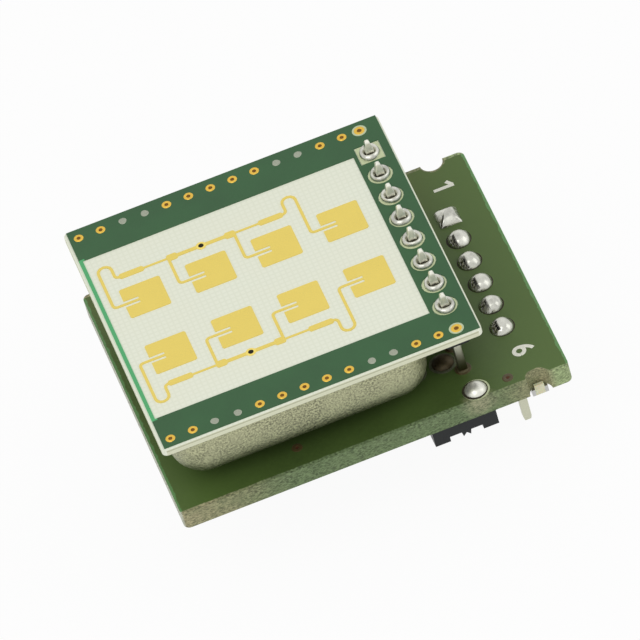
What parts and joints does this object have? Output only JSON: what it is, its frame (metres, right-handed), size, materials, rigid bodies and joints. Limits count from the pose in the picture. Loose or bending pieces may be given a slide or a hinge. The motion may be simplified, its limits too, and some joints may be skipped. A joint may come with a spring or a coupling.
{
  "type": "microwave radar sensor module",
  "caption": "Small motion sensor: a square antenna board with gold patch arrays and a shield can, on a pin header above a larger green carrier board with output pins.",
  "frame": {"origin": "middle of the row of six output pins, on the seating face of their insulator", "axes": "+Z out of the antenna along its boresight, +X from the antenna board towards the output pins' edge of the carrier, +Y along the pin rows towards pin 1"},
  "size_m": [0.0305, 0.025, 0.0179],
  "materials": {
    "laminate": "matt woven",
    "front_mask": "satin",
    "antenna_gold": "matt gold plate",
    "via_gold": "bright gold plate",
    "via_solder": "dull",
    "solder": "bright",
    "stack_pin": "satin gold plate",
    "output_pin": "satin",
    "insulator": "matt",
    "can": "grainy satin",
    "carrier": "satin",
    "package": "matt",
    "lead": "satin tin",
    "trimmer": "matt",
    "rotor": "satin",
    "ceramic": "matt",
    "light": "clear satin",
    "capacitor": "matt",
    "resistor": "matt"
  },
  "bodies": {
    "module": {"antenna_board": "laminate", "front_mask": "front_mask", "upper_array": "antenna_gold", "lower_array": "antenna_gold", "ground_vias": "via_gold", "filled_vias": "via_solder", "corner_vias": "via_gold", "stack_pads": "via_gold", "antenna_joints": "solder", "stack_pins": "stack_pin", "stack_insulator": "insulator", "carrier_joints": "solder", "shield_can": "can", "radar_transceiver": "package", "carrier_board": "carrier", "output_insulator": "insulator", "output_pins": "output_pin", "output_solder": "solder", "trimmer_housing": "trimmer", "trimmer_base": "ceramic", "trimmer_legs": "lead", "trimmer_solder": "solder", "detection_light": "light", "direction_light": "light", "light_contacts": "lead", "processor": "package", "processor_leads": "lead", "amplifier": "package", "amplifier_leads": "lead", "regulator": "package", "regulator_leads": "lead", "capacitors": "capacitor", "capacitor_ends": "lead", "resistors": "resistor", "resistor_ends": "lead", "inner_chips": "capacitor", "inner_chip_ends": "lead"},
    "rotor": {"trimmer_rotor": "rotor"}
  },
  "joints": [
    {"name": "trimmer_turn", "type": "hinge", "parent": "module", "child": "rotor", "pos_m": [-0.00535, -0.00935, 0.0015], "axis": [0, 0, -1], "range_deg": [-105, 105]}
  ]
}
